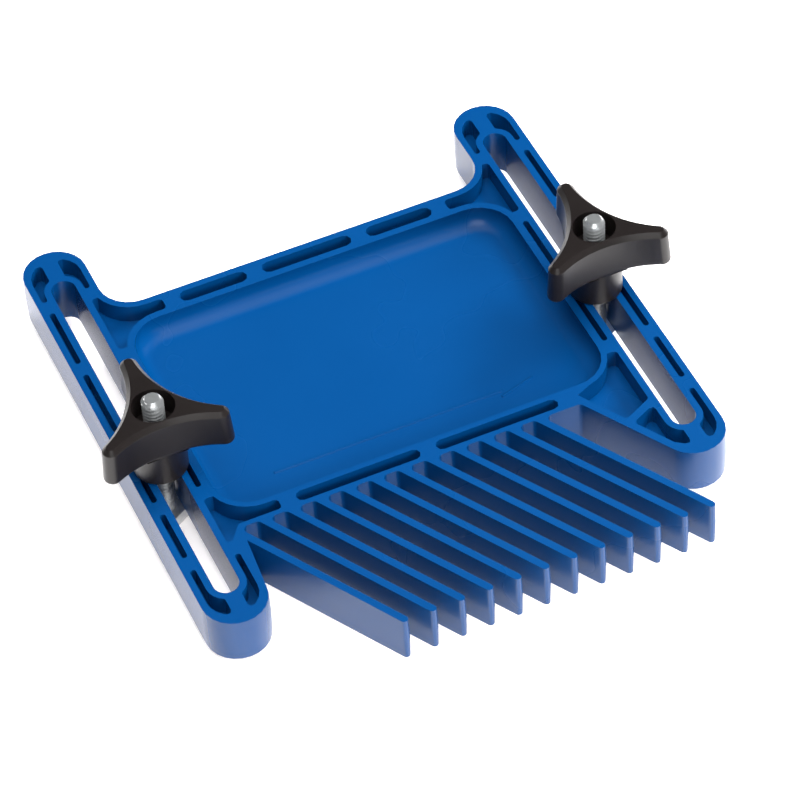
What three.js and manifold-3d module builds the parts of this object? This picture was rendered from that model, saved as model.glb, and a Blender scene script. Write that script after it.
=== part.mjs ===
// A flexible-finger featherboard, the hold-down that presses a board against a
// saw's fence or table. One plastic moulding has two slotted rails, a recessed
// panel between them, and a row of slanted fingers that flex as the work goes by.
// A bolt in each slot and a three-lobed knob clamp it to the machine.
//
// Millimetres, +Z up. The origin is on the underside of the moulding, at the
// middle of the front border. The fingers point to -Y and lean to +X.

import * as THREE from 'three';
import { mergeVertices } from 'three/addons/utils/BufferGeometryUtils.js';
import Module from 'manifold-3d';

const wasm = await Module();
wasm.setup();

const IN = 25.4;

// Moulding
const THICKNESS = 15;
const WEB = 3; // the floor shared by the pockets of the two faces
const RAIL_SPACING = 5.5 * IN;
const RAIL_WIDTH = 0.75 * IN;
const FRONT_ARM = 32; // rail beyond the front of the panel
const BACK_ARM = 31; // rail beyond the back of the panel
const PANEL_DEPTH = 95;
const PANEL_FILLET = 10; // between the back of the panel and the rails
const JOINT_GAP = 0.3; // between two pieces that touch

// Bolts: quarter-inch, twenty threads to the inch, hexagon head
const BOLT_DIAMETER = 0.25 * IN;
const BOLT_LENGTH = 1.75 * IN;
const HEAD_ACROSS_FLATS = 7 / 16 * IN;
const HEAD_HEIGHT = 4;
const HEAD_DROP = 1.6; // the clamps are slack, so the heads hang below the underside

// Slots, the walls around them and the rows of pockets in the rails
const SLOT_CLEARANCE = 1.05; // wider than the bolt
const SLOT_FRONT_INSET = 11.6; // from the end of the rail to the end of the slot
const SLOT_BACK_INSET = 13.2;
const SLOT_WALL = 2.1;
const OUTER_WALL = 2;
const END_RIB = 4.9; // joins the slot's end wall to the end of the rail
const END_WALL_EXTRA = 1.4; // the outer wall is thicker at the end of a rail
const BRIDGE = 5; // solid length between two pockets of a row
const FRONT_BRIDGE = 5.9; // from the front of the panel to the bridge before it
const CORNER_BRIDGE = 9.8; // from an end of the recess to the bridge beside it
const BACK_BRIDGE = 9.2; // from the back of the panel to the bridge behind it

// Recess and the borders around it
const FRONT_BORDER = 7;
const BACK_BORDER = 8.6;
const RECESS_MARGIN = 0.4; // from the inner edge of a rail
const RECESS_RADIUS = 11;
const BORDER_WALL = 1.7;
const FRONT_POCKET_WIDTH = 3.7;
const BACK_POCKET_WIDTH = 4.3;
const BACK_POCKET_MIDDLE = 28.4; // length of the middle one of three
const CORNER_POCKET_REACH = 3.6; // past the straight side of the recess's corner
const POCKET_ROUND = 1.1; // or half the pocket's width, where that is less
const END_ARC_STEPS = 4; // chords in each curved side of a pocket at a rail's end

// Fingers
const FINGER_PITCH = IN / 3;
const FINGER_ANGLE = THREE.MathUtils.degToRad(30);
const FINGER_THICKNESS = 2.25;
const FINGER_REACH = 51.3; // from the front of the panel to the tips, along Y
const FINGER_STUB = 5; // length along Y that stays part of the moulding
const GAP_FILLET = 1.5;

// Wing: the triangle that braces the right rail beside the last finger
const WING_GAP = 12; // least distance from the middle of the last finger, along X
const WING_WALL = 2.4;
const WING_BRACE = 2.5;
const WING_BRACE_DROP = 6.6; // from the front of the panel to the brace at the slot wall
const WING_BRACE_ANGLE = THREE.MathUtils.degToRad(26);

// Knobs and their inserts
const KNOB_RADIUS = 21.3; // from the axis to the end of a lobe
const KNOB_LOBES = 3;
const LOBE_TIP_RADIUS = 2.6;
const KNOB_PLATE = 12.5;
const HUB_LENGTH = 12;
const HUB_WALL = 3.2; // around the insert
const INSERT_WALL = 1.6;
const INSERT_LENGTH = 11.5;
const INSERT_BORE_CLEARANCE = 0.15;
const SHANK_CLEARANCE = 0.45; // around the bolt, in the plastic above the insert
const COUNTERBORE_WALL = 3; // from the bolt to the wall of the counterbore
const COUNTERBORE_DEPTH = 8;
const WAIST_WALL = 1.8; // from the counterbore to the middle of a hollow side

// Where each clamp stands along its slot
const CLAMPS = [
  { name: 'left', side: -1, y: 28 },
  { name: 'right', side: 1, y: 36.4 },
];

const CUT_MARGIN = 1; // how far a cutter runs past the face it opens

// Sizes that follow from the ones above
const PANEL_FRONT = -FRONT_BORDER / 2;
const PANEL_BACK = PANEL_FRONT + PANEL_DEPTH;
const RAIL_FRONT = PANEL_FRONT - FRONT_ARM;
const RAIL_BACK = PANEL_BACK + BACK_ARM;
const RECESS_FRONT = PANEL_FRONT + FRONT_BORDER;
const RECESS_BACK = PANEL_BACK - BACK_BORDER;
const HALF_RAIL = RAIL_WIDTH / 2;
const RAIL_X = RAIL_SPACING / 2;
const RAIL_INNER = RAIL_X - HALF_RAIL;
const SLOT_RADIUS = (BOLT_DIAMETER + SLOT_CLEARANCE) / 2;
const SLOT_FRONT_CENTRE = RAIL_FRONT + SLOT_FRONT_INSET + SLOT_RADIUS;
const SLOT_BACK_CENTRE = RAIL_BACK - SLOT_BACK_INSET - SLOT_RADIUS;
const POCKET_INNER = SLOT_RADIUS + SLOT_WALL; // from the middle of the rail
const POCKET_OUTER = HALF_RAIL - OUTER_WALL;
const POCKET_DEPTH = (THICKNESS - WEB) / 2;
const RAIL_POCKET_WIDTH = POCKET_OUTER - POCKET_INNER;
const RAIL_POCKET_ROUND = Math.min(POCKET_ROUND, 0.48 * RAIL_POCKET_WIDTH);
const END_POCKET_ROUND = Math.min(POCKET_ROUND, 0.64 * RAIL_POCKET_WIDTH); // wider there
const RECESS_X = RAIL_INNER - RECESS_MARGIN;
const CORNER_POCKET_END = RECESS_X - RECESS_RADIUS - CORNER_POCKET_REACH;
const BORDER_POCKET_END = CORNER_POCKET_END - BRIDGE;
const FRONT_POCKET_BACK = RECESS_FRONT - BORDER_WALL;
const FRONT_POCKET_FRONT = FRONT_POCKET_BACK - FRONT_POCKET_WIDTH;
const BACK_POCKET_FRONT = RECESS_BACK + (BACK_BORDER - BACK_POCKET_WIDTH) / 2;
const BACK_POCKET_BACK = BACK_POCKET_FRONT + BACK_POCKET_WIDTH;
const STUB_Y = PANEL_FRONT - FINGER_STUB;
const FINGER_TIP_Y = PANEL_FRONT - FINGER_REACH;
const SLOPE = Math.tan(FINGER_ANGLE);
const FINGER_HALF_X = FINGER_THICKNESS / 2 / Math.cos(FINGER_ANGLE);
const INSERT_RADIUS = BOLT_DIAMETER / 2 + INSERT_WALL;
const HUB_RADIUS = INSERT_RADIUS + HUB_WALL;
const COUNTERBORE_RADIUS = BOLT_DIAMETER / 2 + COUNTERBORE_WALL;
const KNOB_WAIST = COUNTERBORE_RADIUS + WAIST_WALL;
const BRIDGES = [
  PANEL_FRONT - FRONT_BRIDGE,
  RECESS_FRONT + CORNER_BRIDGE,
  (RECESS_FRONT + RECESS_BACK) / 2,
  RECESS_BACK - CORNER_BRIDGE,
  PANEL_BACK + BACK_BRIDGE,
];

// ---------------------------------------------------------------------------
// Helpers: solids, outlines and meshes

function solid(geometry) {
  const bare = geometry.clone();
  bare.deleteAttribute('normal');
  bare.deleteAttribute('uv');
  const merged = mergeVertices(bare, 1e-4);
  return new wasm.Manifold(new wasm.Mesh({
    numProp: 3,
    vertProperties: new Float32Array(merged.attributes.position.array),
    triVerts: new Uint32Array(merged.index.array),
  }));
}

function geometryOf(manifold) {
  const mesh = manifold.getMesh();
  const geometry = new THREE.BufferGeometry();
  geometry.setAttribute('position', new THREE.BufferAttribute(mesh.vertProperties, 3));
  geometry.setIndex(new THREE.BufferAttribute(mesh.triVerts, 1));
  geometry.computeVertexNormals();
  return geometry;
}

// A closed outline from corners [x, y, fillet radius], each fillet an arc of
// `steps` chords.
function outline(corners, steps = 3) {
  const points = [];
  corners.forEach(([x, y, radius = 0], i) => {
    const corner = new THREE.Vector2(x, y);
    const [px, py] = corners[(i + corners.length - 1) % corners.length];
    const [nx, ny] = corners[(i + 1) % corners.length];
    const back = new THREE.Vector2(px, py).sub(corner).normalize();
    const ahead = new THREE.Vector2(nx, ny).sub(corner).normalize();
    if (radius === 0) {
      points.push(corner);
      return;
    }
    const half = Math.acos(THREE.MathUtils.clamp(back.dot(ahead), -1, 1)) / 2;
    const middle = back.clone().add(ahead).normalize();
    const centre = corner.clone().addScaledVector(middle, radius / Math.sin(half));
    const start = corner.clone().addScaledVector(back, radius / Math.tan(half)).sub(centre);
    const sweep = Math.PI - 2 * half;
    const turn = back.cross(ahead) < 0 ? sweep : -sweep;
    for (let k = 0; k <= steps; k++) {
      points.push(start.clone().rotateAround(new THREE.Vector2(), turn * k / steps).add(centre));
    }
  });
  const kept = points.filter((p, i) => p.distanceTo(points[(i + 1) % points.length]) > 1e-3);
  return new THREE.Shape(kept);
}

function arc(x, y, radius, from, to, steps) {
  const points = [];
  for (let k = 0; k <= steps; k++) {
    const angle = from + (to - from) * k / steps;
    points.push([x + radius * Math.cos(angle), y + radius * Math.sin(angle)]);
  }
  return points;
}

function slab(shape, bottom, top) {
  const geometry = new THREE.ExtrudeGeometry(shape, { depth: top - bottom, bevelEnabled: false });
  return solid(geometry.translate(0, 0, bottom));
}

function disc(radius, bottom, top, sides = 32) {
  const geometry = new THREE.CylinderGeometry(radius, radius, top - bottom, sides);
  return solid(geometry.rotateX(Math.PI / 2).translate(0, 0, (top + bottom) / 2));
}

// Mirrors a list of corners across the YZ plane and keeps them anticlockwise.
function mirrored(corners) {
  return corners.map(([x, ...rest]) => [-x, ...rest]).reverse();
}

// ---------------------------------------------------------------------------
// The moulding

// The first finger starts at the inner edge of the left rail.
const fingerX = (index, y) => index * FINGER_PITCH - RAIL_INNER + (PANEL_FRONT - y) * SLOPE;

// The wing's slanted edge touches the round end of the right rail.
const railEnd = new THREE.Vector2(RAIL_X, RAIL_FRONT + HALF_RAIL);
const wingEdge = (y, inset = 0) => {
  const reach = HALF_RAIL - inset;
  const x = railEnd.x - reach * Math.cos(FINGER_ANGLE);
  const touch = railEnd.y - reach * Math.sin(FINGER_ANGLE);
  return x + (touch - y) * SLOPE;
};

// As many fingers as fit between the left rail and the wing
const FINGER_COUNT = 1 + Math.floor((wingEdge(PANEL_FRONT) - WING_GAP + RAIL_INNER) / FINGER_PITCH);

function frontEdge() {
  const corners = [[fingerX(0, STUB_Y) - FINGER_HALF_X, STUB_Y]];
  for (let i = 0; i < FINGER_COUNT; i++) {
    if (i > 0) corners.push([fingerX(i, STUB_Y) - FINGER_HALF_X, STUB_Y]);
    corners.push([fingerX(i, STUB_Y) + FINGER_HALF_X, STUB_Y]);
    corners.push([fingerX(i, PANEL_FRONT) + FINGER_HALF_X, PANEL_FRONT, GAP_FILLET]);
    const next = i < FINGER_COUNT - 1 ? fingerX(i + 1, PANEL_FRONT) - FINGER_HALF_X : wingEdge(PANEL_FRONT);
    corners.push([next, PANEL_FRONT, GAP_FILLET]);
  }
  return corners;
}

function boardOutline() {
  const left = -RAIL_X;
  return outline([
    [left - HALF_RAIL, RAIL_FRONT, HALF_RAIL],
    [left + HALF_RAIL, RAIL_FRONT, HALF_RAIL],
    [left + HALF_RAIL, RAIL_FRONT + HALF_RAIL],
    ...frontEdge(),
    [wingEdge(RAIL_FRONT), RAIL_FRONT, HALF_RAIL],
    [RAIL_X + HALF_RAIL, RAIL_FRONT, HALF_RAIL],
    [RAIL_X + HALF_RAIL, RAIL_BACK, HALF_RAIL],
    [RAIL_INNER, RAIL_BACK, HALF_RAIL],
    [RAIL_INNER, PANEL_BACK, PANEL_FILLET],
    [-RAIL_INNER, PANEL_BACK, PANEL_FILLET],
    [-RAIL_INNER, RAIL_BACK, HALF_RAIL],
    [left - HALF_RAIL, RAIL_BACK, HALF_RAIL],
  ], 6);
}

function slot(side) {
  const x = side * RAIL_X;
  return outline([
    [x - SLOT_RADIUS, SLOT_FRONT_CENTRE - SLOT_RADIUS, SLOT_RADIUS],
    [x + SLOT_RADIUS, SLOT_FRONT_CENTRE - SLOT_RADIUS, SLOT_RADIUS],
    [x + SLOT_RADIUS, SLOT_BACK_CENTRE + SLOT_RADIUS, SLOT_RADIUS],
    [x - SLOT_RADIUS, SLOT_BACK_CENTRE + SLOT_RADIUS, SLOT_RADIUS],
  ], 6);
}

function box(x0, y0, x1, y1, largest) {
  const radius = Math.min(largest, (x1 - x0) / 2, (y1 - y0) / 2);
  return [[x0, y0, radius], [x1, y0, radius], [x1, y1, radius], [x0, y1, radius]];
}

// The pocket beside the slot's end, between its wall, the rib and the rail's end.
// Drawn for the outer half of the right rail's back end, about the rail's middle.
function endPocket(bridgeEdge, slotCentre, railEndY) {
  const up = Math.sign(railEndY - slotCentre);
  const reach = POCKET_OUTER;
  const centre = railEndY - up * (HALF_RAIL + END_WALL_EXTRA);
  const rib = END_RIB / 2;
  const outer = arc(0, 0, reach, 0, Math.acos(rib / reach), END_ARC_STEPS);
  const inner = arc(0, 0, POCKET_INNER, Math.acos(rib / POCKET_INNER), 0, END_ARC_STEPS);
  const atRib = (k, last) => (k === last ? END_POCKET_ROUND : 0);
  const corners = [
    [POCKET_INNER, bridgeEdge, RAIL_POCKET_ROUND],
    [POCKET_OUTER, bridgeEdge, RAIL_POCKET_ROUND],
    ...outer.map(([x, y], k) => [x, centre + up * y, atRib(k, END_ARC_STEPS)]),
    ...inner.map(([x, y], k) => [x, slotCentre + up * y, atRib(k, 0)]),
  ];
  return up > 0 ? corners : corners.reverse();
}

function railPockets() {
  const pockets = [];
  const spans = BRIDGES.slice(1).map((y, i) => [BRIDGES[i] + BRIDGE / 2, y - BRIDGE / 2]);
  const frontEnd = endPocket(BRIDGES[0] - BRIDGE / 2, SLOT_FRONT_CENTRE, RAIL_FRONT);
  const backEnd = endPocket(BRIDGES.at(-1) + BRIDGE / 2, SLOT_BACK_CENTRE, RAIL_BACK);
  const shift = (corners, x) => corners.map(([u, v, r]) => [u + x, v, r]);
  const flip = (corners) => corners.map(([u, v, r]) => [-u, v, r]).reverse();

  for (const side of [-1, 1]) {
    const x = side * RAIL_X;
    const outwards = (corners) => shift(side > 0 ? corners : flip(corners), x);
    const inwards = (corners) => shift(side > 0 ? flip(corners) : corners, x);
    for (const [from, to] of spans) {
      pockets.push(outwards(box(POCKET_INNER, from, POCKET_OUTER, to, RAIL_POCKET_ROUND)));
    }
    for (const [from, to] of spans.slice(1, -1)) {
      pockets.push(inwards(box(POCKET_INNER, from, POCKET_OUTER, to, RAIL_POCKET_ROUND)));
    }
    pockets.push(outwards(frontEnd), outwards(backEnd), inwards(backEnd));
    if (side < 0) pockets.push(inwards(frontEnd));
  }
  return pockets;
}

// The border's pockets have nearly round ends.
function borderPockets() {
  const half = BACK_POCKET_MIDDLE / 2;
  const frontRound = 0.48 * FRONT_POCKET_WIDTH;
  const backRound = 0.48 * BACK_POCKET_WIDTH;
  const front = box(BRIDGE / 2, FRONT_POCKET_FRONT, BORDER_POCKET_END, FRONT_POCKET_BACK, frontRound);
  const back = box(half + BRIDGE, BACK_POCKET_FRONT, BORDER_POCKET_END, BACK_POCKET_BACK, backRound);
  const middle = box(-half, BACK_POCKET_FRONT, half, BACK_POCKET_BACK, backRound);
  return [front, mirrored(front), middle, back, mirrored(back)];
}

// The curved pockets in the corners between the recess, a border and a rail.
// Each follows the rounded corner of the recess on its inner side.
const SLOT_SIDE = RAIL_X - POCKET_INNER;
const CORNER_X = RECESS_X - RECESS_RADIUS;

function backCornerPocket() {
  const low = BRIDGES[3] + BRIDGE / 2;
  const high = BRIDGES[4] - BRIDGE / 2;
  const cornerY = RECESS_BACK - RECESS_RADIUS;
  const ring = BACK_POCKET_FRONT - cornerY;
  const filletX = RAIL_INNER - PANEL_FILLET;
  const filletY = PANEL_BACK + PANEL_FILLET;
  const fillet = filletY - BACK_POCKET_BACK;
  return [
    [CORNER_POCKET_END, BACK_POCKET_BACK, POCKET_ROUND],
    [CORNER_POCKET_END, BACK_POCKET_FRONT, POCKET_ROUND],
    ...arc(CORNER_X, cornerY, ring, Math.PI / 2, Math.asin((low - cornerY) / ring), 6),
    [SLOT_SIDE, low, POCKET_ROUND],
    [SLOT_SIDE, high, POCKET_ROUND],
    ...arc(filletX, filletY, fillet, -Math.asin((filletY - high) / fillet), -Math.PI / 2, 6),
  ];
}

function recessCorner() {
  const cornerY = RECESS_FRONT + RECESS_RADIUS;
  const ring = RECESS_RADIUS + BORDER_WALL;
  const high = BRIDGES[1] - BRIDGE / 2;
  return arc(CORNER_X, cornerY, ring, -Math.PI / 2, Math.asin((high - cornerY) / ring), 6);
}

function frontCornerPocket() {
  const low = BRIDGES[0] + BRIDGE / 2;
  const high = BRIDGES[1] - BRIDGE / 2;
  return mirrored([
    [CORNER_POCKET_END, FRONT_POCKET_BACK, POCKET_ROUND],
    [CORNER_POCKET_END, FRONT_POCKET_FRONT, POCKET_ROUND],
    [-fingerX(0, PANEL_FRONT) - BORDER_WALL, FRONT_POCKET_FRONT, POCKET_ROUND],
    [RAIL_X - POCKET_OUTER, low],
    [SLOT_SIDE, low, RAIL_POCKET_ROUND],
    [SLOT_SIDE, high, POCKET_ROUND],
    ...recessCorner().reverse(),
  ]);
}

// Two pockets in the wing, above and below its slanting brace
function wingPockets() {
  const wallX = (y) => wingEdge(y, WING_WALL);
  const drop = Math.tan(WING_BRACE_ANGLE);
  const braceTop = PANEL_FRONT - WING_BRACE_DROP;
  const braceLow = braceTop - WING_BRACE / Math.cos(WING_BRACE_ANGLE);
  const meet = (level) => {
    const y = (level - drop * (SLOT_SIDE - wallX(0))) / (1 + drop * SLOPE);
    return [wallX(y), y];
  };
  const shoulder = (FRONT_POCKET_FRONT + FRONT_POCKET_BACK) / 2;
  const upper = [
    ...recessCorner().slice(1),
    [SLOT_SIDE, BRIDGES[1] - BRIDGE / 2, POCKET_ROUND],
    [SLOT_SIDE, braceTop, POCKET_ROUND],
    [...meet(braceTop), POCKET_ROUND],
    [wallX(shoulder), shoulder],
  ];

  const rib = END_RIB / 2;
  const endY = RAIL_FRONT + HALF_RAIL + END_WALL_EXTRA;
  const tangent = endY - POCKET_OUTER * Math.sin(FINGER_ANGLE);
  const ringEnd = Math.PI + Math.acos(rib / POCKET_INNER);
  const lower = [
    [SLOT_SIDE, braceLow, POCKET_ROUND],
    ...arc(RAIL_X, SLOT_FRONT_CENTRE, POCKET_INNER, Math.PI, ringEnd, END_ARC_STEPS),
    [RAIL_X - rib, endY - POCKET_OUTER * Math.sin(Math.acos(rib / POCKET_OUTER)), END_POCKET_ROUND],
    [wallX(tangent), tangent],
    [...meet(braceLow), POCKET_ROUND],
  ];
  return [upper.reverse(), lower.reverse()];
}

function board() {
  let body = slab(boardOutline(), 0, THICKNESS);
  for (const side of [-1, 1]) {
    body = body.subtract(slab(slot(side), -CUT_MARGIN, THICKNESS + CUT_MARGIN));
  }
  const recess = box(-RECESS_X, RECESS_FRONT, RECESS_X, RECESS_BACK, RECESS_RADIUS);
  const hollows = [outline(recess, 6)];
  const corners = [backCornerPocket(), mirrored(backCornerPocket()), frontCornerPocket()];
  for (const pocket of [...railPockets(), ...borderPockets(), ...corners, ...wingPockets()]) {
    hollows.push(outline(pocket, 2));
  }
  for (const hollow of hollows) {
    body = body.subtract(slab(hollow, -CUT_MARGIN, POCKET_DEPTH));
    body = body.subtract(slab(hollow, THICKNESS - POCKET_DEPTH, THICKNESS + CUT_MARGIN));
  }
  return geometryOf(body);
}

// ---------------------------------------------------------------------------
// Fingers, bolts, inserts and knobs

function finger(index) {
  const root = STUB_Y - JOINT_GAP;
  const radius = FINGER_THICKNESS / 2;
  const endY = FINGER_TIP_Y + radius;
  const across = Math.PI + FINGER_ANGLE;
  const shape = outline([
    [fingerX(index, root) + FINGER_HALF_X, root],
    [fingerX(index, root) - FINGER_HALF_X, root],
    ...arc(fingerX(index, endY), endY, radius, across, across + Math.PI, 6),
  ]);
  return geometryOf(slab(shape, 0, THICKNESS));
}

function bolt() {
  const headRadius = HEAD_ACROSS_FLATS / 2 / Math.cos(Math.PI / 6);
  const head = disc(headRadius, -HEAD_DROP - HEAD_HEIGHT, -HEAD_DROP, 6);
  const shank = disc(BOLT_DIAMETER / 2, -HEAD_DROP - HEAD_HEIGHT / 2, BOLT_LENGTH - HEAD_DROP);
  return geometryOf(head.add(shank));
}

function insert() {
  const bore = BOLT_DIAMETER / 2 + INSERT_BORE_CLEARANCE;
  const body = disc(INSERT_RADIUS, 0, INSERT_LENGTH);
  return geometryOf(body.subtract(disc(bore, -CUT_MARGIN, INSERT_LENGTH + CUT_MARGIN)));
}

// One lobe's round tip and the hollow side after it, repeated round the axis.
// The hollow side is an arc that touches both tips and passes the waist.
function knobOutline() {
  const tip = KNOB_RADIUS - LOBE_TIP_RADIUS;
  const step = 2 * Math.PI / KNOB_LOBES;
  const cosine = Math.cos(step / 2);
  const hollow = (tip ** 2 + KNOB_WAIST ** 2 - 2 * KNOB_WAIST * tip * cosine - LOBE_TIP_RADIUS ** 2)
    / (2 * (LOBE_TIP_RADIUS + tip * cosine - KNOB_WAIST));
  const centre = KNOB_WAIST + hollow;
  const toSide = Math.atan2(centre * Math.sin(step / 2), centre * cosine - tip);
  const points = [];
  for (let i = 0; i < KNOB_LOBES; i++) {
    const lobe = Math.PI / 2 + i * step;
    const [tipX, tipY] = [tip * Math.cos(lobe), tip * Math.sin(lobe)];
    points.push(...arc(tipX, tipY, LOBE_TIP_RADIUS, lobe - toSide, lobe + toSide, 6));
    const side = lobe + step / 2;
    const [sideX, sideY] = [centre * Math.cos(side), centre * Math.sin(side)];
    const spread = Math.PI - step / 2 - (Math.PI - toSide);
    const half = Math.abs(spread);
    const inner = arc(sideX, sideY, hollow, side + Math.PI + half, side + Math.PI - half, 7);
    points.push(...inner.slice(1, -1));
  }
  return outline(points);
}

function knob() {
  const top = HUB_LENGTH + KNOB_PLATE;
  const socket = INSERT_LENGTH + 2 * JOINT_GAP;
  let body = slab(knobOutline(), HUB_LENGTH, top);
  body = body.add(disc(HUB_RADIUS, 0, HUB_LENGTH + 1));
  body = body.subtract(disc(INSERT_RADIUS + JOINT_GAP, -CUT_MARGIN, socket));
  body = body.subtract(disc(BOLT_DIAMETER / 2 + SHANK_CLEARANCE, 0, top));
  body = body.subtract(disc(COUNTERBORE_RADIUS, top - COUNTERBORE_DEPTH, top + CUT_MARGIN));
  return geometryOf(body);
}

// ---------------------------------------------------------------------------
// Assembly

const blue = new THREE.MeshStandardMaterial({ color: 0x0a5fb4, roughness: 0.3, metalness: 0 });
const black = new THREE.MeshStandardMaterial({ color: 0x262322, roughness: 0.45, metalness: 0 });
const zinc = new THREE.MeshStandardMaterial({ color: 0xc9ccd0, roughness: 0.3, metalness: 1 });
const brass = new THREE.MeshStandardMaterial({ color: 0xb08d4a, roughness: 0.35, metalness: 1 });

function piece(name, geometry, material) {
  const mesh = new THREE.Mesh(geometry, material);
  mesh.name = name;
  return mesh;
}

const featherboard = new THREE.Group();
featherboard.add(piece('board', board(), blue));

for (let i = 0; i < FINGER_COUNT; i++) {
  const number = String(i + 1).padStart(2, '0');
  featherboard.add(piece(`finger_${number}`, finger(i), blue));
}

for (const { name, side, y } of CLAMPS) {
  const clamp = new THREE.Group();
  clamp.position.set(side * RAIL_X, y, 0);
  const turning = new THREE.Group();
  turning.position.z = THICKNESS + JOINT_GAP;
  const bush = piece(`insert_${name}`, insert(), brass);
  bush.position.z = JOINT_GAP;
  turning.add(piece(`knob_${name}`, knob(), black), bush);
  clamp.add(piece(`bolt_${name}`, bolt(), zinc), turning);
  featherboard.add(clamp);
}

export default featherboard;
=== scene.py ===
# A blue plastic featherboard with its two clamping knobs, on a pale studio floor.
# Metres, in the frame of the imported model: the fingers point to -Y and lean to +X.

import math

import bmesh
import bpy
from mathutils import Matrix, Vector


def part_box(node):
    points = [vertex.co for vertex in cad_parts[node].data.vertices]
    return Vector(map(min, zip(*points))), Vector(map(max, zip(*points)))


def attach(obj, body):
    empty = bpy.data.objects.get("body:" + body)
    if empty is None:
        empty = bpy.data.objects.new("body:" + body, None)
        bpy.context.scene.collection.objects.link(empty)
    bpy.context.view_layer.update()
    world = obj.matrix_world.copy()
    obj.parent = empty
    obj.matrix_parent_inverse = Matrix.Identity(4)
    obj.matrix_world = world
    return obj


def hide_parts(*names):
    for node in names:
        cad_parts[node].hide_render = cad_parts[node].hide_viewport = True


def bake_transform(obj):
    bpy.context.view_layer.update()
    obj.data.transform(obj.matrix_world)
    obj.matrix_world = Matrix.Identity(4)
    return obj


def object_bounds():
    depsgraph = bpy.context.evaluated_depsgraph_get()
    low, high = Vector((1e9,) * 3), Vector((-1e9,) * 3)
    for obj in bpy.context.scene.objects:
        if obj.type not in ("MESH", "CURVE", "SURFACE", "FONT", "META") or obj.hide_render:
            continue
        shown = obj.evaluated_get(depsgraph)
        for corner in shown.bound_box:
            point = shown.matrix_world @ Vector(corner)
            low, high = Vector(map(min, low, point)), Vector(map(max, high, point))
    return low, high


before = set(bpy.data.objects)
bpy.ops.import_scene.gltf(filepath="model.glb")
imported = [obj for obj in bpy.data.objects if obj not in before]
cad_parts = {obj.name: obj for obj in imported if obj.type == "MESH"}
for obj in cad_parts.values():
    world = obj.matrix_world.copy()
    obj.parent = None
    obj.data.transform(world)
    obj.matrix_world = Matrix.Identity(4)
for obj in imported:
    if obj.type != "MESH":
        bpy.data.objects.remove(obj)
cad_box = [list(corner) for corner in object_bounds()]

MM = 0.001

# ---------------------------------------------------------------------------
# Camera: a long lens above the front left corner, looking down at the moulding.
# It leans a little, as a hand-set studio camera does.

CAMERA_PLACE = Vector((-278.4, -705.5, 845.1)) * MM
CAMERA_AIM = Vector((3, 27, 8)) * MM
CAMERA_LENS = 180
CAMERA_FILM = 36  # the width of its frame, in the same millimetres as the lens
CAMERA_NEAR = 50 * MM
CAMERA_LEAN = math.radians(4.1)

camera = bpy.data.objects.new("camera", bpy.data.cameras.new("camera"))
bpy.context.scene.collection.objects.link(camera)
camera.data.lens = CAMERA_LENS
camera.data.sensor_width = CAMERA_FILM
camera.data.clip_start = CAMERA_NEAR
camera.location = CAMERA_PLACE
look = (CAMERA_AIM - CAMERA_PLACE).to_track_quat("-Z", "Y")
camera.rotation_euler = (look.to_matrix() @ Matrix.Rotation(-CAMERA_LEAN, 3, "Z")).to_euler()
bpy.context.scene.camera = camera

# ---------------------------------------------------------------------------
# Floor and light: a softly glowing white table in a dim room. One light is overhead,
# one on the right, one low in front, to reach between the fingers, and a dim one is
# high in front, where the edges and the bolts mirror it.

FLOOR_HALF = 4
FLOOR_DROP = 0.3 * MM  # keeps the floor just clear of the bolt heads
FLOOR_WHITE = (0.86, 0.85, 0.85, 1)
FLOOR_GLOW = (1, 0.93, 0.9, 1)
FLOOR_GLOW_POWER = 0.45
FLOOR_ROUGHNESS = 0.8
ROOM_GREY = (0.07, 0.075, 0.08, 1)

floor_mesh = bpy.data.meshes.new("floor")
ground = bmesh.new()
bmesh.ops.create_grid(ground, x_segments=2, y_segments=2, size=FLOOR_HALF)
bmesh.ops.translate(ground, vec=(0, 0, cad_box[0][2] - FLOOR_DROP), verts=ground.verts)
ground.to_mesh(floor_mesh)
ground.free()
floor = bpy.data.objects.new("floor", floor_mesh)
bpy.context.scene.collection.objects.link(floor)

pale = bpy.data.materials.new("pale_floor")
pale.use_nodes = True
surface = pale.node_tree.nodes["Principled BSDF"]
surface.inputs["Base Color"].default_value = FLOOR_WHITE
surface.inputs["Roughness"].default_value = FLOOR_ROUGHNESS
surface.inputs["Emission Color"].default_value = FLOOR_GLOW
surface.inputs["Emission Strength"].default_value = FLOOR_GLOW_POWER
floor_mesh.materials.append(pale)

world = bpy.data.worlds.new("room")
world.use_nodes = True
world.node_tree.nodes["Background"].inputs["Color"].default_value = ROOM_GREY
world.node_tree.nodes["Background"].inputs["Strength"].default_value = 1
bpy.context.scene.world = world
bpy.context.scene.view_settings.view_transform = "Standard"


def softbox(name, place, size, power, mirrored=True):
    """A soft light aimed at the moulding; one that isn't mirrored leaves no highlight."""
    light = bpy.data.lights.new(name, "AREA")
    light.shape = "RECTANGLE"
    light.size, light.size_y = size
    light.energy = power
    lamp = bpy.data.objects.new(name, light)
    lamp.location = place
    lamp.rotation_euler = (CAMERA_AIM - Vector(place)).to_track_quat("-Z", "Y").to_euler()
    lamp.visible_glossy = mirrored
    bpy.context.scene.collection.objects.link(lamp)


softbox("overhead", place=(0, -0.05, 1.3), size=(1.3, 1.1), power=33, mirrored=False)
softbox("key", place=(1.05, 0.35, 0.85), size=(0.5, 0.5), power=28, mirrored=False)
softbox("front", place=(0.85, -1.75, 0.95), size=(1.2, 0.8), power=66, mirrored=False)
softbox("glints", place=(-0.27, -0.82, 1.1), size=(0.9, 0.9), power=6.6)

# ---------------------------------------------------------------------------
# The moulding: one shot of glossy blue plastic. Its outer walls taper away
# from the parting line at half the thickness, and every edge is rounded.
# The fingers are part of it, and leave it here only so that each can bend.

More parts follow.
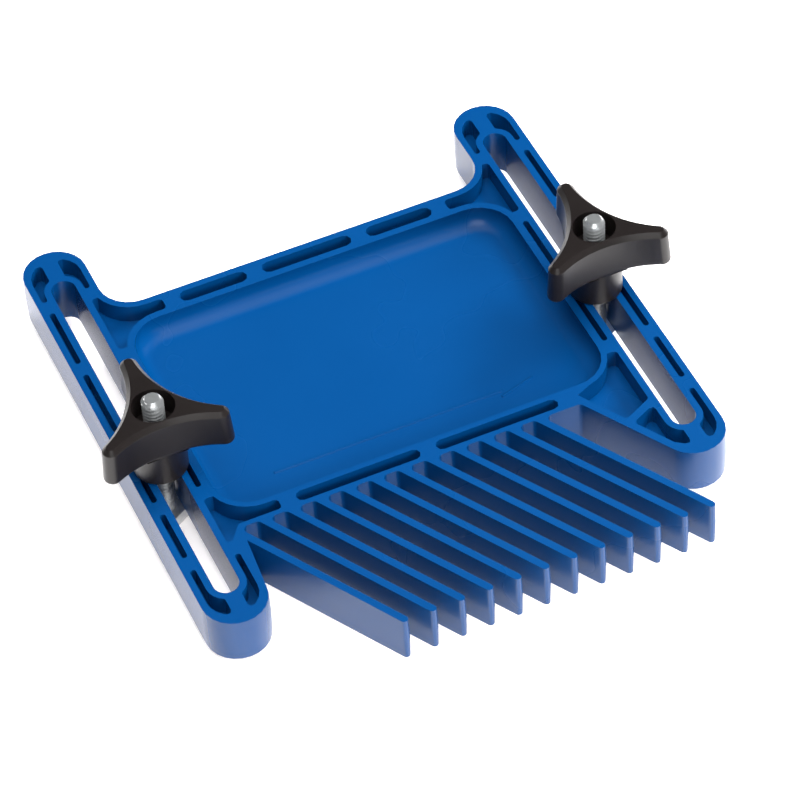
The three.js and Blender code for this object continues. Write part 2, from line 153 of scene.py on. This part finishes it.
WELD = 0.01 * MM  # corners this near to each other are one
ON_PLANE = 0.001 * MM
FACING = 0.99  # the least share of a normal along an axis, for a face square to it
JOINT_GAP = 0.3 * MM  # from the end of a finger to its stub, in the model that moves
GAP_SLACK = 0.1 * MM
FLOOR_THICKNESS = 3 * MM  # between the recesses of the two faces
PARTING_STEP = 0.2 * MM  # how far the parting line stands out
EDGE_ROUND = 0.3 * MM
COVE = 5.0 * MM  # the soft fillet round the recess's floor
COVE_STEPS = 6
FLAT = math.radians(1)
SHARP = math.radians(28)
FINGER_LEAN = math.radians(30)
ROOT_NOTCH = 0.8 * MM  # how far below its root a finger is free of the rail
BEND_LENGTH = 16 * MM  # from the root of a finger, where it flexes
BEND_STEPS = 8
FINGERS = sorted(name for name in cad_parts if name.startswith("finger_"))


def object_from(shape, name):
    """The finished shape as an object in the scene."""
    mesh = bpy.data.meshes.new(name)
    shape.to_mesh(mesh)
    shape.free()
    made = bpy.data.objects.new(name, mesh)
    bpy.context.scene.collection.objects.link(made)
    return made


def everything(shape):
    """All that a plane is to cut."""
    return list(shape.verts) + list(shape.edges) + list(shape.faces)


board_low, board_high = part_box("board")
parting = (board_low.z + board_high.z) / 2
moulding = bmesh.new()
for node in ("board", *FINGERS):
    moulding.from_mesh(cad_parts[node].data)
bmesh.ops.remove_doubles(moulding, verts=moulding.verts, dist=WELD)

# Close the gap between each finger and the stub that it grows from.
root_y = max(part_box(name)[1].y for name in FINGERS)
across = [f for f in moulding.faces if abs(f.normal.y) > FACING]
finger_ends = [f for f in across if abs(f.calc_center_median().y - root_y) < GAP_SLACK]
stub_ends = [f for f in across if abs(f.calc_center_median().y - root_y - JOINT_GAP) < GAP_SLACK]
stub_y = stub_ends[0].verts[0].co.y
roots = list({v for f in finger_ends for v in f.verts})
bmesh.ops.delete(moulding, geom=stub_ends + finger_ends, context="FACES")
rise = stub_y - root_y
bmesh.ops.translate(moulding, vec=(-rise * math.tan(FINGER_LEAN), rise, 0), verts=roots)
bmesh.ops.remove_doubles(moulding, verts=moulding.verts, dist=2 * WELD)
bmesh.ops.dissolve_limit(
    moulding, angle_limit=FLAT, use_dissolve_boundaries=False,
    verts=moulding.verts, edges=moulding.edges,
)

# The soft fillet round the floor of the recess, on both sides
for up in (1, -1):
    level = [f for f in moulding.faces if f.normal.z * up > FACING]
    inner = [f for f in level if abs(f.calc_center_median().z - parting) < FLOOR_THICKNESS]
    recess_floor = max(inner, key=lambda f: f.calc_area())
    bmesh.ops.bevel(
        moulding, geom=list(recess_floor.edges), offset=COVE, offset_type="OFFSET",
        affect="EDGES", segments=COVE_STEPS, profile=0.5, material=-1, clamp_overlap=False,
    )

# The parting line
bmesh.ops.bisect_plane(
    moulding, geom=everything(moulding), dist=ON_PLANE,
    plane_co=(0, 0, parting), plane_no=(0, 0, 1),
)
for v in moulding.verts:
    if abs(v.co.z - parting) < WELD:
        out = Vector((v.normal.x, v.normal.y, 0)).normalized()
        v.co += out * PARTING_STEP * v.calc_shell_factor()

bmesh.ops.recalc_face_normals(moulding, faces=moulding.faces)
corners = [e for e in moulding.edges if e.is_manifold and e.calc_face_angle() > SHARP]
bmesh.ops.bevel(
    moulding, geom=corners, offset=EDGE_ROUND, offset_type="OFFSET",
    affect="EDGES", segments=2, profile=0.5, material=-1, clamp_overlap=True,
)
for f in moulding.faces:
    f.smooth = True

# Part the fingers from the board across their roots.
cut_y = stub_y - ROOT_NOTCH
bmesh.ops.bisect_plane(
    moulding, geom=everything(moulding), dist=ON_PLANE,
    plane_co=(0, cut_y, 0), plane_no=(0, 1, 0),
)


def cap(shape):
    """Closes the open ends with flat faces whose rims stay crisp."""
    rims = [e for e in shape.edges if e.is_boundary]
    bmesh.ops.holes_fill(shape, edges=rims, sides=0)
    for e in rims:
        e.smooth = False


def even_shading(piece):
    """Lets the flat faces stay flat beside their rounded edges."""
    weighted = piece.modifiers.new("even_shading", "WEIGHTED_NORMAL")
    weighted.keep_sharp = True


# Ahead of the cut lie the fingers, the two rails' ends and the pieces of their
# pockets; only the fingers reach past the rails.
ahead = {f for f in moulding.faces if f.calc_center_median().y < cut_y}
islands = []
while ahead:
    island = [ahead.pop()]
    for face in island:
        near = {other for edge in face.edges for other in edge.link_faces} & ahead
        ahead -= near
        island.extend(near)
    islands.append(island)
rail_front = board_low.y
islands = [
    island for island in islands
    if min(v.co.y for f in island for v in f.verts) < rail_front - EDGE_ROUND
]
islands.sort(key=lambda island: min(v.co.x for f in island for v in f.verts))
moulding.faces.index_update()

finger_pieces = {}
for name, island in zip(FINGERS, islands, strict=True):
    kept = {f.index for f in island}
    leaf = moulding.copy()
    bmesh.ops.delete(leaf, geom=[f for f in leaf.faces if f.index not in kept], context="FACES")
    cap(leaf)
    for step in range(1, BEND_STEPS + 1):
        bmesh.ops.bisect_plane(
            leaf, geom=everything(leaf), dist=ON_PLANE,
            plane_co=(0, cut_y - BEND_LENGTH * step / BEND_STEPS, 0), plane_no=(0, 1, 0),
        )
    finger_pieces[name] = object_from(leaf, f"flexing_{name}")
bmesh.ops.delete(moulding, geom=[f for island in islands for f in island], context="FACES")
cap(moulding)
board = object_from(moulding, "moulding")

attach(board, "board")
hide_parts("board")
even_shading(board)
for name, leaf in finger_pieces.items():
    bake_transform(leaf)
    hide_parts(name)
    even_shading(leaf)

# The raised arrow that shows the feed direction, on the floor of each recess
ARROW_Y = 16.3 * MM
ARROW_TAIL = -40.8 * MM
ARROW_NECK = 30.7 * MM
ARROW_TIP = Vector((40.7, 17.5)) * MM
ARROW_BARB = Vector((29.2, 14.1)) * MM
ARROW_WIDTH = 1.0 * MM
ARROW_HEIGHT = 0.35 * MM
ARROW_SLOPE = 0.33 * MM

arrow = bmesh.new()
strokes = [(Vector((ARROW_TAIL, ARROW_Y)), Vector((ARROW_NECK, ARROW_Y))), (ARROW_BARB, ARROW_TIP)]
for start, end in strokes:
    run = end - start
    middle = ((start + end) / 2).to_3d()
    place = Matrix.Translation(middle) @ Matrix.Rotation(math.atan2(run.y, run.x), 4, "Z")
    size = Matrix.Diagonal((run.length, ARROW_WIDTH, FLOOR_THICKNESS + 2 * ARROW_HEIGHT, 1))
    bmesh.ops.create_cube(arrow, size=1, matrix=Matrix.Translation((0, 0, parting)) @ place @ size)
bmesh.ops.bevel(
    arrow, geom=list(arrow.edges), offset=ARROW_SLOPE, offset_type="OFFSET",
    affect="EDGES", segments=1, profile=0.5, material=-1, clamp_overlap=True,
)
arrow = object_from(arrow, "feed_arrow")
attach(arrow, "board")

PLASTIC_BLUE = (0.0001, 0.037, 0.137, 1)
PLASTIC_BLUE_DEEP = (0.0001, 0.0325, 0.123, 1)
BLUE_ROUGHNESS = (0.2, 0.33)
BLUE_IOR = 1.56
BLUE_SHEEN = 0.27
FLOW_SCALE = 14  # slow drifts of colour and gloss, several to the length
FLOW_DETAIL = 3
RIPPLE_SCALE = 170
RIPPLE_DEPTH = 0.02 * MM


def drifting_finish(name, scale, detail, tones, spread=(0, 1), roughness=None):
    """A finish whose colour drifts between two tones, and its roughness too if given."""
    finish = bpy.data.materials.new(name)
    finish.use_nodes = True
    nodes, links = finish.node_tree.nodes, finish.node_tree.links
    shader = nodes["Principled BSDF"]
    place = nodes.new("ShaderNodeTexCoord")
    drift = nodes.new("ShaderNodeTexNoise")
    drift.inputs["Scale"].default_value = scale
    drift.inputs["Detail"].default_value = detail
    links.new(place.outputs["Object"], drift.inputs["Vector"])
    ramp = nodes.new("ShaderNodeValToRGB")
    for stop, position, tone in zip(ramp.color_ramp.elements, spread, tones):
        stop.position = position
        stop.color = tone
    links.new(drift.outputs["Fac"], ramp.inputs["Fac"])
    links.new(ramp.outputs["Color"], shader.inputs["Base Color"])
    if roughness:
        gloss = nodes.new("ShaderNodeMapRange")
        gloss.inputs["To Min"].default_value, gloss.inputs["To Max"].default_value = roughness
        links.new(drift.outputs["Fac"], gloss.inputs["Value"])
        links.new(gloss.outputs["Result"], shader.inputs["Roughness"])
    return finish, shader


def add_relief(finish, shader, scale, depth):
    """Fine unevenness of the surface, too shallow to model."""
    nodes, links = finish.node_tree.nodes, finish.node_tree.links
    place = nodes.new("ShaderNodeTexCoord")
    grain = nodes.new("ShaderNodeTexNoise")
    grain.inputs["Scale"].default_value = scale
    grain.inputs["Detail"].default_value = 2
    links.new(place.outputs["Object"], grain.inputs["Vector"])
    relief = nodes.new("ShaderNodeBump")
    relief.inputs["Strength"].default_value = 0.5
    relief.inputs["Distance"].default_value = depth
    links.new(grain.outputs["Fac"], relief.inputs["Height"])
    links.new(relief.outputs["Normal"], shader.inputs["Normal"])


blue, shader = drifting_finish(
    "blue_plastic", FLOW_SCALE, FLOW_DETAIL, (PLASTIC_BLUE_DEEP, PLASTIC_BLUE),
    spread=(0.3, 0.7), roughness=BLUE_ROUGHNESS,
)
shader.inputs["IOR"].default_value = BLUE_IOR
shader.inputs["Specular IOR Level"].default_value = BLUE_SHEEN
add_relief(blue, shader, RIPPLE_SCALE, RIPPLE_DEPTH)
for piece in (board, arrow, *finger_pieces.values()):
    piece.data.materials.append(blue)

# ---------------------------------------------------------------------------
# The clamping bolts: quarter-inch hexagon bolts, threaded all the way up, cold
# headed in steel and plated with bright zinc. They stand up through the slots.

INCH = 25.4 * MM
THREAD_PITCH = INCH / 20
BOLT_RADIUS = INCH / 8
THREAD_DEPTH = 0.61  # of the pitch, as are the three below
ROOT_END = 0.25
CREST_START = 0.56
CREST_END = 0.69
THREAD_ROOT = BOLT_RADIUS - THREAD_DEPTH * THREAD_PITCH
THREAD_STEPS = 28  # round one turn
TIP_CHAMFER = 1.1 * MM
HEAD_HEIGHT = 4 * MM
HEAD_ROUND = 0.35 * MM
THREAD_CREASE = math.radians(30)
SIDES = ("left", "right")


def thread(shape, foot, tip):
    """A right-handed thread from foot to tip: one pitch of profile spun up a helix."""
    turns = math.ceil((tip - foot) / THREAD_PITCH) + 1
    bottom = foot - THREAD_PITCH
    section = [
        (THREAD_ROOT, 0), (THREAD_ROOT, ROOT_END),
        (BOLT_RADIUS, CREST_START), (BOLT_RADIUS, CREST_END), (THREAD_ROOT, 1),
    ]
    points = [shape.verts.new((r, 0, bottom + z * THREAD_PITCH)) for r, z in section]
    profile = [shape.edges.new(pair) for pair in zip(points, points[1:])]
    bmesh.ops.spin(
        shape, geom=points + profile, cent=(0, 0, 0), axis=(0, 0, 1),
        dvec=(0, 0, THREAD_PITCH / THREAD_STEPS), angle=2 * math.pi * turns,
        steps=THREAD_STEPS * turns, use_merge=False, use_duplicate=False,
    )
    bmesh.ops.remove_doubles(shape, verts=shape.verts, dist=WELD / 2)
    for level, above in ((foot, False), (tip, True)):
        bmesh.ops.bisect_plane(
            shape, geom=everything(shape), dist=ON_PLANE, plane_co=(0, 0, level),
            plane_no=(0, 0, 1), clear_outer=above, clear_inner=not above,
        )
    for v in shape.verts:
        reach = math.hypot(v.co.x, v.co.y)
        limit = BOLT_RADIUS - TIP_CHAMFER + max(0, tip - v.co.z)
        if reach > limit:
            v.co.x, v.co.y = v.co.x * limit / reach, v.co.y * limit / reach
    bmesh.ops.holes_fill(shape, edges=[e for e in shape.edges if e.is_boundary], sides=0)


bolts = []
for side in SIDES:
    low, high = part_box(f"bolt_{side}")
    centre = (low + high) / 2
    across_flats = high.x - low.x
    body = bmesh.new()
    thread(body, low.z + HEAD_HEIGHT, high.z)
    head = bmesh.ops.create_circle(
        body, segments=6, radius=across_flats / 2 / math.cos(math.pi / 6), cap_ends=True,
    )["verts"]
    base = list({f for v in head for f in v.link_faces})
    grown = bmesh.ops.extrude_face_region(body, geom=base)["geom"]
    top = [g for g in grown if isinstance(g, bmesh.types.BMVert)]
    bmesh.ops.translate(body, vec=(0, 0, HEAD_HEIGHT), verts=top)
    head_verts = head + top
    bmesh.ops.translate(body, vec=(0, 0, low.z), verts=head_verts)
    head_edges = list({e for v in head_verts for e in v.link_edges})
    bmesh.ops.bevel(
        body, geom=head_edges, offset=HEAD_ROUND, offset_type="OFFSET",
        affect="EDGES", segments=2, profile=0.5, material=-1, clamp_overlap=True,
    )
    bmesh.ops.translate(body, vec=(centre.x, centre.y, 0), verts=body.verts)
    bmesh.ops.recalc_face_normals(body, faces=body.faces)
    for f in body.faces:
        f.smooth = True
    for e in body.edges:
        e.smooth = e.is_manifold and e.calc_face_angle() < THREAD_CREASE
    bolt = object_from(body, f"clamping_bolt_{side}")
    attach(bolt, f"bolt_{side}")
    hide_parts(f"bolt_{side}")
    bolts.append(bolt)

ZINC_TONES = ((0.5, 0.52, 0.53, 1), (0.72, 0.74, 0.74, 1))
ZINC_ROUGHNESS = (0.24, 0.36)
ZINC_METAL = 0.88  # a thin dull film covers the metal
BLOOM_SCALE = 420
BLOOM_DETAIL = 4

zinc, shader = drifting_finish(
    "bright_zinc", BLOOM_SCALE, BLOOM_DETAIL, ZINC_TONES, roughness=ZINC_ROUGHNESS,
)
shader.inputs["Metallic"].default_value = ZINC_METAL
for bolt in bolts:
    bolt.data.materials.append(zinc)

# ---------------------------------------------------------------------------
# The knobs: three lobes with hollow sides, moulded in satin black plastic round
# a brass insert. The top edge has a flat chamfer, and the hub flares into the plate.

KNOB_LOBES = 3
KNOB_REACH = 21.3 * MM
LOBE_TIP = 2.6 * MM
COUNTERBORE = 6.175 * MM
COUNTERBORE_DEPTH = 8 * MM
WAIST_WALL = 1.8 * MM
WAIST = COUNTERBORE + WAIST_WALL  # from the axis to the middle of a hollow side
HUB_RADIUS = 7.975 * MM
HUB_LENGTH = 12 * MM
PLATE_FLARE = 0.8 * MM  # the lower edge stands out from the upper one
CHAMFER = 1.35 * MM
CHAMFER_ROUND = 0.2 * MM
CHAMFER_SOFTNESS = 0.07 * MM
LOWER_ROUND = 1.3 * MM
HUB_FOOT = 0.8 * MM  # the rounded lower end of the hub, and the middle of its curve
HUB_FOOT_MIDDLE = 0.25 * MM
BORE_EDGE = 0.35 * MM  # the rounded edge of the counterbore, and the middle of its curve
BORE_EDGE_MIDDLE = 0.1 * MM
BORE_DRAFT = 0.1 * MM
HUB_COVE = 2.8 * MM
COVE_SHARE = 0.85  # of the plate's overhang, where that is narrow
SHANK_HOLE = 3.625 * MM
SOCKET_RADIUS = 5.075 * MM
SOCKET_DEPTH = 12.1 * MM
DISH = 0.05 * MM  # how far a flat ring sinks towards its inner edge
QUARTER = math.pi / 2
ROUND_STEPS = 4
TIP_STEPS = 10
SIDE_STEPS = 16
KNOB_CREASE = math.radians(50)


def lobed_loop(shape, inset, place):
    """One loop of edges, round lobe tips joined by hollow sides and moved in by
    inset; place then moves each corner to where it belongs."""
    step = 2 * math.pi / KNOB_LOBES
    tip = KNOB_REACH - LOBE_TIP
    lean = math.cos(step / 2)
    hollow = (tip ** 2 + WAIST ** 2 - 2 * WAIST * tip * lean - LOBE_TIP ** 2) / (
        2 * (LOBE_TIP + tip * lean - WAIST)
    )
    centre = WAIST + hollow
    turn = math.atan2(centre * math.sin(step / 2), centre * lean - tip)
    half = turn - step / 2
    up = (0, 0, 1)
    before = set(shape.verts)
    for lobe in range(KNOB_LOBES):
        along = Matrix.Rotation(QUARTER + lobe * step, 3, "Z")
        between = Matrix.Rotation(QUARTER + (lobe + 0.5) * step, 3, "Z")
        outwards = Vector((math.cos(turn), -math.sin(turn), 0))
        corner = shape.verts.new(along @ (Vector((tip, 0, 0)) + (LOBE_TIP - inset) * outwards))
        last = bmesh.ops.spin(
            shape, geom=[corner], cent=along @ Vector((tip, 0, 0)), axis=up,
            angle=2 * turn, steps=TIP_STEPS, use_duplicate=False,
        )["geom_last"]
        bmesh.ops.spin(
            shape, geom=[g for g in last if isinstance(g, bmesh.types.BMVert)],
            cent=between @ Vector((centre, 0, 0)), axis=up,
            angle=-2 * half, steps=SIDE_STEPS, use_duplicate=False,
        )
    made = [v for v in shape.verts if v not in before]
    bmesh.ops.remove_doubles(shape, verts=made, dist=WELD)
    made = [v for v in shape.verts if v not in before]
    for corner in made:
        corner.co = place(corner.co.copy())
    return list({e for v in made for e in v.link_edges})


def at_height(z):
    return lambda p: Vector((p.x, p.y, z))


def on_circle(radius, z):
    return lambda p: Vector((p.x, p.y, 0)).normalized() * radius + Vector((0, 0, z))


def cove_width(reach):
    """The width of the fillet under the plate, where the plate's side is at this reach."""
    return min(HUB_COVE, COVE_SHARE * (reach + PLATE_FLARE - HUB_RADIUS))


def flared(z, inset=0):
    """The plate's side leans out towards its lower edge, and never inside the fillet."""
    def place(p):
        reach = math.hypot(p.x, p.y)
        share = max(reach + PLATE_FLARE, HUB_RADIUS + cove_width(reach + inset)) / reach
        return Vector((p.x * share, p.y * share, z))
    return place


def hub_cove(turn):
    """A hollow fillet from the hub to the plate, as wide as the plate leaves room for."""
    def place(p):
        size = cove_width(math.hypot(p.x, p.y))
        radius = HUB_RADIUS + size * (1 - math.cos(turn))
        return on_circle(radius, HUB_LENGTH - size * (1 - math.sin(turn)))(p)
    return place


def clamping_knob(top):
    """A knob from its foot at height 0 to its top, as one closed skin of bridged loops."""
    shape = bmesh.new()
    floor_z = top - COUNTERBORE_DEPTH
    rings = [
        (0, on_circle(SOCKET_RADIUS, DISH)),
        (0, on_circle(HUB_RADIUS - HUB_FOOT, 0)),
        (0, on_circle(HUB_RADIUS - HUB_FOOT_MIDDLE, HUB_FOOT_MIDDLE)),
        (0, on_circle(HUB_RADIUS, HUB_FOOT)),
    ]
    turns = [QUARTER * k / ROUND_STEPS for k in range(ROUND_STEPS + 1)]
    rings += [(0, hub_cove(turn)) for turn in turns]
    for turn in turns:
        inset = LOWER_ROUND * (1 - math.sin(turn))
        rings.append((inset, flared(HUB_LENGTH + LOWER_ROUND * (1 - math.cos(turn)), inset)))
    rings += [
        (0, at_height(top - CHAMFER - CHAMFER_ROUND)),
        (CHAMFER_SOFTNESS, at_height(top - CHAMFER)),
        (CHAMFER - CHAMFER_SOFTNESS, at_height(top - CHAMFER_SOFTNESS)),
        (CHAMFER + CHAMFER_ROUND, at_height(top)),
        (0, on_circle(COUNTERBORE + BORE_EDGE, top - DISH)),
        (0, on_circle(COUNTERBORE + BORE_EDGE_MIDDLE, top - BORE_EDGE_MIDDLE)),
        (0, on_circle(COUNTERBORE, top - BORE_EDGE)),
        (0, on_circle(COUNTERBORE - BORE_DRAFT, floor_z)),
        (0, on_circle(SHANK_HOLE, floor_z - DISH)),
        (0, on_circle(SHANK_HOLE, SOCKET_DEPTH)),
        (0, on_circle(SOCKET_RADIUS, SOCKET_DEPTH - DISH)),
    ]
    loops = [lobed_loop(shape, inset, place) for inset, place in rings]
    for lower, upper in zip(loops, loops[1:] + loops[:1]):
        bmesh.ops.bridge_loops(shape, edges=lower + upper)
    return shape


knobs = []
for side in SIDES:
    low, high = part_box(f"knob_{side}")
    bolt_low, bolt_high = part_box(f"bolt_{side}")
    centre = (bolt_low + bolt_high) / 2
    shape = clamping_knob(high.z - low.z)
    bmesh.ops.translate(shape, vec=(centre.x, centre.y, low.z), verts=shape.verts)
    bmesh.ops.recalc_face_normals(shape, faces=shape.faces)
    for f in shape.faces:
        f.smooth = True
    for e in shape.edges:
        e.smooth = e.is_manifold and e.calc_face_angle() < KNOB_CREASE
    knob = object_from(shape, f"clamping_knob_{side}")
    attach(knob, f"knob_{side}")
    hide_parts(f"knob_{side}")
    even_shading(knob)
    knobs.append(knob)

BLACK_TONES = ((0.0058, 0.0046, 0.0044, 1), (0.0094, 0.0075, 0.0072, 1))
BLACK_ROUGHNESS = (0.3, 0.4)
BLACK_SHEEN = 0.42
CLOUD_SCALE = 90
CLOUD_DETAIL = 3
GRAIN_SCALE = 2200
GRAIN_DEPTH = 0.02 * MM

black, shader = drifting_finish(
    "black_plastic", CLOUD_SCALE, CLOUD_DETAIL, BLACK_TONES, roughness=BLACK_ROUGHNESS,
)
shader.inputs["Specular IOR Level"].default_value = BLACK_SHEEN
add_relief(black, shader, GRAIN_SCALE, GRAIN_DEPTH)
for knob in knobs:
    knob.data.materials.append(black)

# ---------------------------------------------------------------------------
# The threaded inserts: turned brass bushes with a knurled outside, moulded into
# the hubs. Only their ends and bores can be seen, past the bolts.

INSERT_RADIUS = 4.775 * MM
INSERT_BORE = 3.325 * MM
INSERT_CHAMFER = 0.4 * MM
KNURL_DEPTH = 0.25 * MM
KNURL_TEETH = 36

BRASS_TONES = ((0.36, 0.24, 0.08, 1), (0.62, 0.44, 0.17, 1))
BRASS_ROUGHNESS = 0.32
TARNISH_SCALE = 300
TARNISH_DETAIL = 2

brass, shader = drifting_finish("turned_brass", TARNISH_SCALE, TARNISH_DETAIL, BRASS_TONES)
shader.inputs["Metallic"].default_value = 1
shader.inputs["Roughness"].default_value = BRASS_ROUGHNESS

for side in SIDES:
    low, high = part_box(f"insert_{side}")
    centre = (low + high) / 2
    shape = bmesh.new()
    loops = []
    for radius, z, knurl in (
        (INSERT_BORE, low.z + DISH, 0),
        (INSERT_RADIUS - INSERT_CHAMFER, low.z, 0),
        (INSERT_RADIUS, low.z + INSERT_CHAMFER, KNURL_DEPTH),
        (INSERT_RADIUS, high.z - INSERT_CHAMFER, KNURL_DEPTH),
        (INSERT_RADIUS - INSERT_CHAMFER, high.z, 0),
        (INSERT_BORE, high.z - DISH, 0),
    ):
        ring = bmesh.ops.create_circle(shape, segments=2 * KNURL_TEETH, radius=radius)["verts"]
        for tooth, corner in enumerate(ring):
            if tooth % 2:
                corner.co *= (radius - knurl) / radius
        bmesh.ops.translate(shape, vec=(centre.x, centre.y, z), verts=ring)
        loops.append(list({e for v in ring for e in v.link_edges}))
    for lower, upper in zip(loops, loops[1:] + loops[:1]):
        bmesh.ops.bridge_loops(shape, edges=lower + upper)
    bmesh.ops.recalc_face_normals(shape, faces=shape.faces)
    if shape.calc_volume(signed=True) < 0:
        bmesh.ops.reverse_faces(shape, faces=shape.faces)
    insert = object_from(shape, f"threaded_insert_{side}")
    insert.data.materials.append(brass)
    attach(insert, f"insert_{side}")
    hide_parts(f"insert_{side}")
